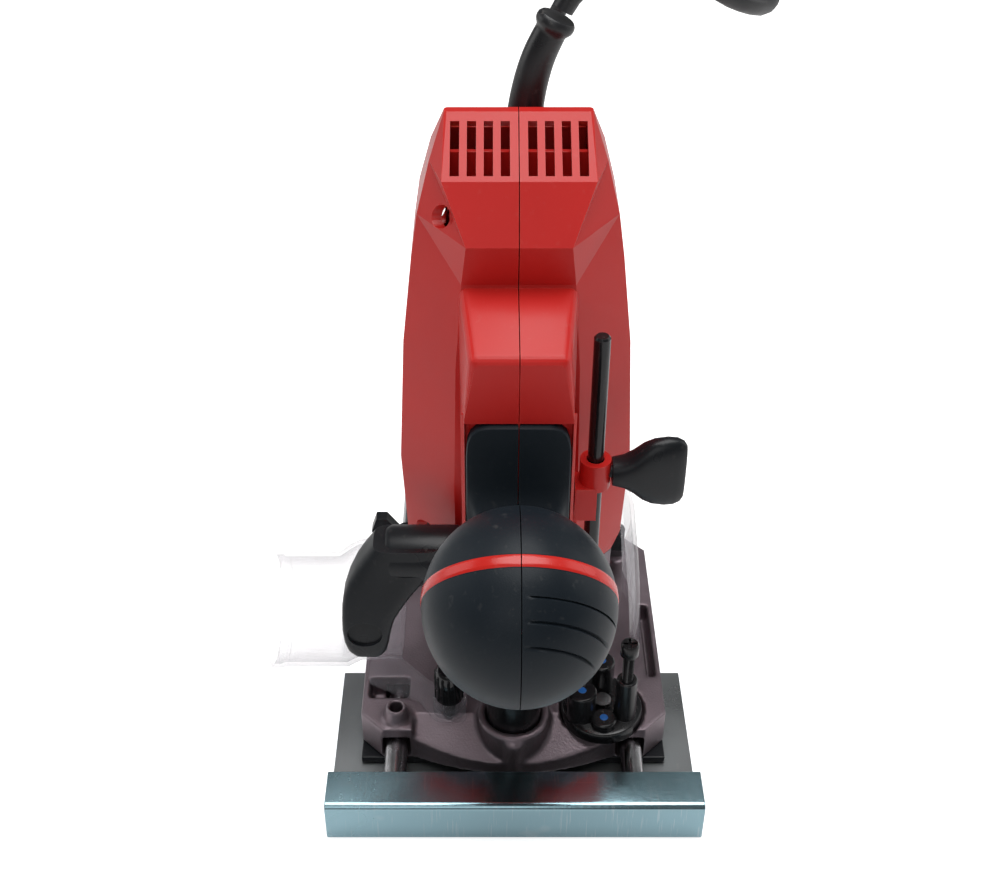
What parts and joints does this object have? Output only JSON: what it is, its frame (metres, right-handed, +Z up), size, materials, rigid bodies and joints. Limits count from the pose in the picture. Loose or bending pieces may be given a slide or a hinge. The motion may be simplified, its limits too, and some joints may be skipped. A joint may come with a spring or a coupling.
{
  "type": "plunge router",
  "caption": "Corded plunge router: ball-handled motor unit sliding on columns over a cast base, with parallel fence, depth stop turret and clear dust adapter.",
  "frame": {"origin": "middle of the footprint, without the cord, on the surface that the sole stands on", "axes": "+X the right handle, -Y the operator's side, +Z up along the spindle"},
  "size_m": [0.4109, 0.1753, 0.273],
  "materials": {
    "red_plastic": "fine moulded texture",
    "black_plastic": "satin",
    "soft_grip": "satin soft-touch",
    "clear_plastic": "clear",
    "cast_aluminium": "as cast",
    "bright_steel": "ground",
    "zinc_steel": "zinc plated",
    "dark_steel": "blackened",
    "brass": "plain",
    "copper": "enamelled",
    "bronze": "sintered",
    "carbon": "matte",
    "cable_rubber": "satin"
  },
  "bodies": {
    "base": {"base_casting": "cast_aluminium", "sole_plate": "black_plastic", "column_left": "dark_steel", "column_right": "dark_steel", "plunge_spring_left": "bright_steel", "plunge_spring_right": "bright_steel", "turret_screw": "bright_steel", "chip_guard": "clear_plastic", "dust_adapter": "clear_plastic", "cord_run": "cable_rubber", "cord_coil": "cable_rubber", "cord_tail": "cable_rubber", "plug_body": "cable_rubber"},
    "fence": {"fence_sheet": "zinc_steel", "guide_rod_front": "bright_steel", "guide_rod_back": "bright_steel"},
    "clamp_front": {"wing_screw_front": "black_plastic"},
    "clamp_back": {"wing_screw_back": "black_plastic"},
    "adapter_clamp": {"adapter_knob": "black_plastic"},
    "turret": {"turret_disc": "black_plastic", "turret_stop_screw": "dark_steel"},
    "motor_unit": {"housing_front": "red_plastic", "housing_back": "red_plastic", "bearing_bracket": "cast_aluminium", "stator_core": "dark_steel", "field_coil_front": "copper", "field_coil_back": "copper", "brush_holder_front": "brass", "brush_holder_back": "brass", "carbon_brush_front": "carbon", "carbon_brush_back": "carbon", "upper_bearing": "bright_steel", "lower_bearing": "bright_steel", "plunge_bush_left": "bronze", "plunge_bush_right": "bronze", "spring_pin_left": "bright_steel", "spring_pin_right": "bright_steel", "depth_bracket": "red_plastic", "ball_left_front": "soft_grip", "ball_left_back": "soft_grip", "ball_right_front": "soft_grip", "ball_right_back": "soft_grip", "switch_body": "black_plastic", "speed_module": "black_plastic", "cord_boot": "cable_rubber"},
    "rotor": {"rotor_shaft": "bright_steel", "armature_core": "dark_steel", "commutator": "copper", "fan": "black_plastic", "collet_nut": "bright_steel", "collet": "bright_steel"},
    "stop_rod": {"depth_rod": "dark_steel"},
    "stop_knob": {"depth_knob": "black_plastic"},
    "lever": {"lock_lever": "black_plastic", "lock_bolt": "bright_steel"},
    "switch_trigger": {"trigger": "red_plastic"},
    "lock_on": {"lock_on_button": "red_plastic"},
    "spindle_lock": {"spindle_lock_button": "black_plastic"},
    "dial": {"speed_dial": "black_plastic"}
  },
  "joints": [
    {"name": "plunge", "type": "slide", "parent": "base", "child": "motor_unit", "axis": [0, 0, -1], "range_m": [0, 0.042], "stiffness_N_per_m": 600, "springref_m": -0.12, "deforming": ["plunge_spring_left", "plunge_spring_right"]},
    {"name": "spindle_spin", "type": "hinge", "parent": "motor_unit", "child": "rotor", "pos_m": [0, -0.013, 0.1], "axis": [0, 0, 1], "continuous": true},
    {"name": "stop_rod_slide", "type": "slide", "parent": "motor_unit", "child": "stop_rod", "axis": [0, 0, 1], "range_m": [0, 0.03]},
    {"name": "stop_knob_turn", "type": "hinge", "parent": "motor_unit", "child": "stop_knob", "pos_m": [-0.046, -0.053, 0.133], "axis": [0, -1, 0], "range_deg": [-180, 180]},
    {"name": "lock_lever_swing", "type": "hinge", "parent": "motor_unit", "child": "lever", "pos_m": [-0.046, 0.017, 0.098], "axis": [0, 1, 0], "range_deg": [0, 45]},
    {"name": "trigger_press", "type": "slide", "parent": "motor_unit", "child": "switch_trigger", "axis": [0, 1, 0], "range_m": [0, 0.004], "stiffness_N_per_m": 800, "springref_m": -0.003},
    {"name": "lock_on_press", "type": "slide", "parent": "motor_unit", "child": "lock_on", "axis": [0, -1, 0], "range_m": [0, 0.003], "stiffness_N_per_m": 500, "springref_m": -0.002},
    {"name": "spindle_lock_press", "type": "slide", "parent": "motor_unit", "child": "spindle_lock", "axis": [0, 1, 0], "range_m": [0, 0.004], "stiffness_N_per_m": 500, "springref_m": -0.002},
    {"name": "speed_dial_turn", "type": "hinge", "parent": "motor_unit", "child": "dial", "pos_m": [0.0265, -0.013, 0.198], "axis": [0, 1, 0], "range_deg": [0, 270]},
    {"name": "turret_turn", "type": "hinge", "parent": "base", "child": "turret", "pos_m": [-0.0415, -0.045, 0.02], "axis": [0, 0, 1], "continuous": true},
    {"name": "fence_slide", "type": "slide", "parent": "base", "child": "fence", "axis": [-1, 0, 0], "range_m": [-0.005, 0.1]},
    {"name": "clamp_front_turn", "type": "hinge", "parent": "base", "child": "clamp_front", "pos_m": [0.042, -0.055, 0.0263], "axis": [0, 0, 1], "range_deg": [-180, 180]},
    {"name": "clamp_back_turn", "type": "hinge", "parent": "base", "child": "clamp_back", "pos_m": [0.042, 0.029, 0.0263], "axis": [0, 0, 1], "range_deg": [-180, 180]},
    {"name": "adapter_knob_turn", "type": "hinge", "parent": "base", "child": "adapter_clamp", "pos_m": [-0.0425, 0.01, 0.027], "axis": [0, 0, 1], "range_deg": [-180, 180]}
  ]
}
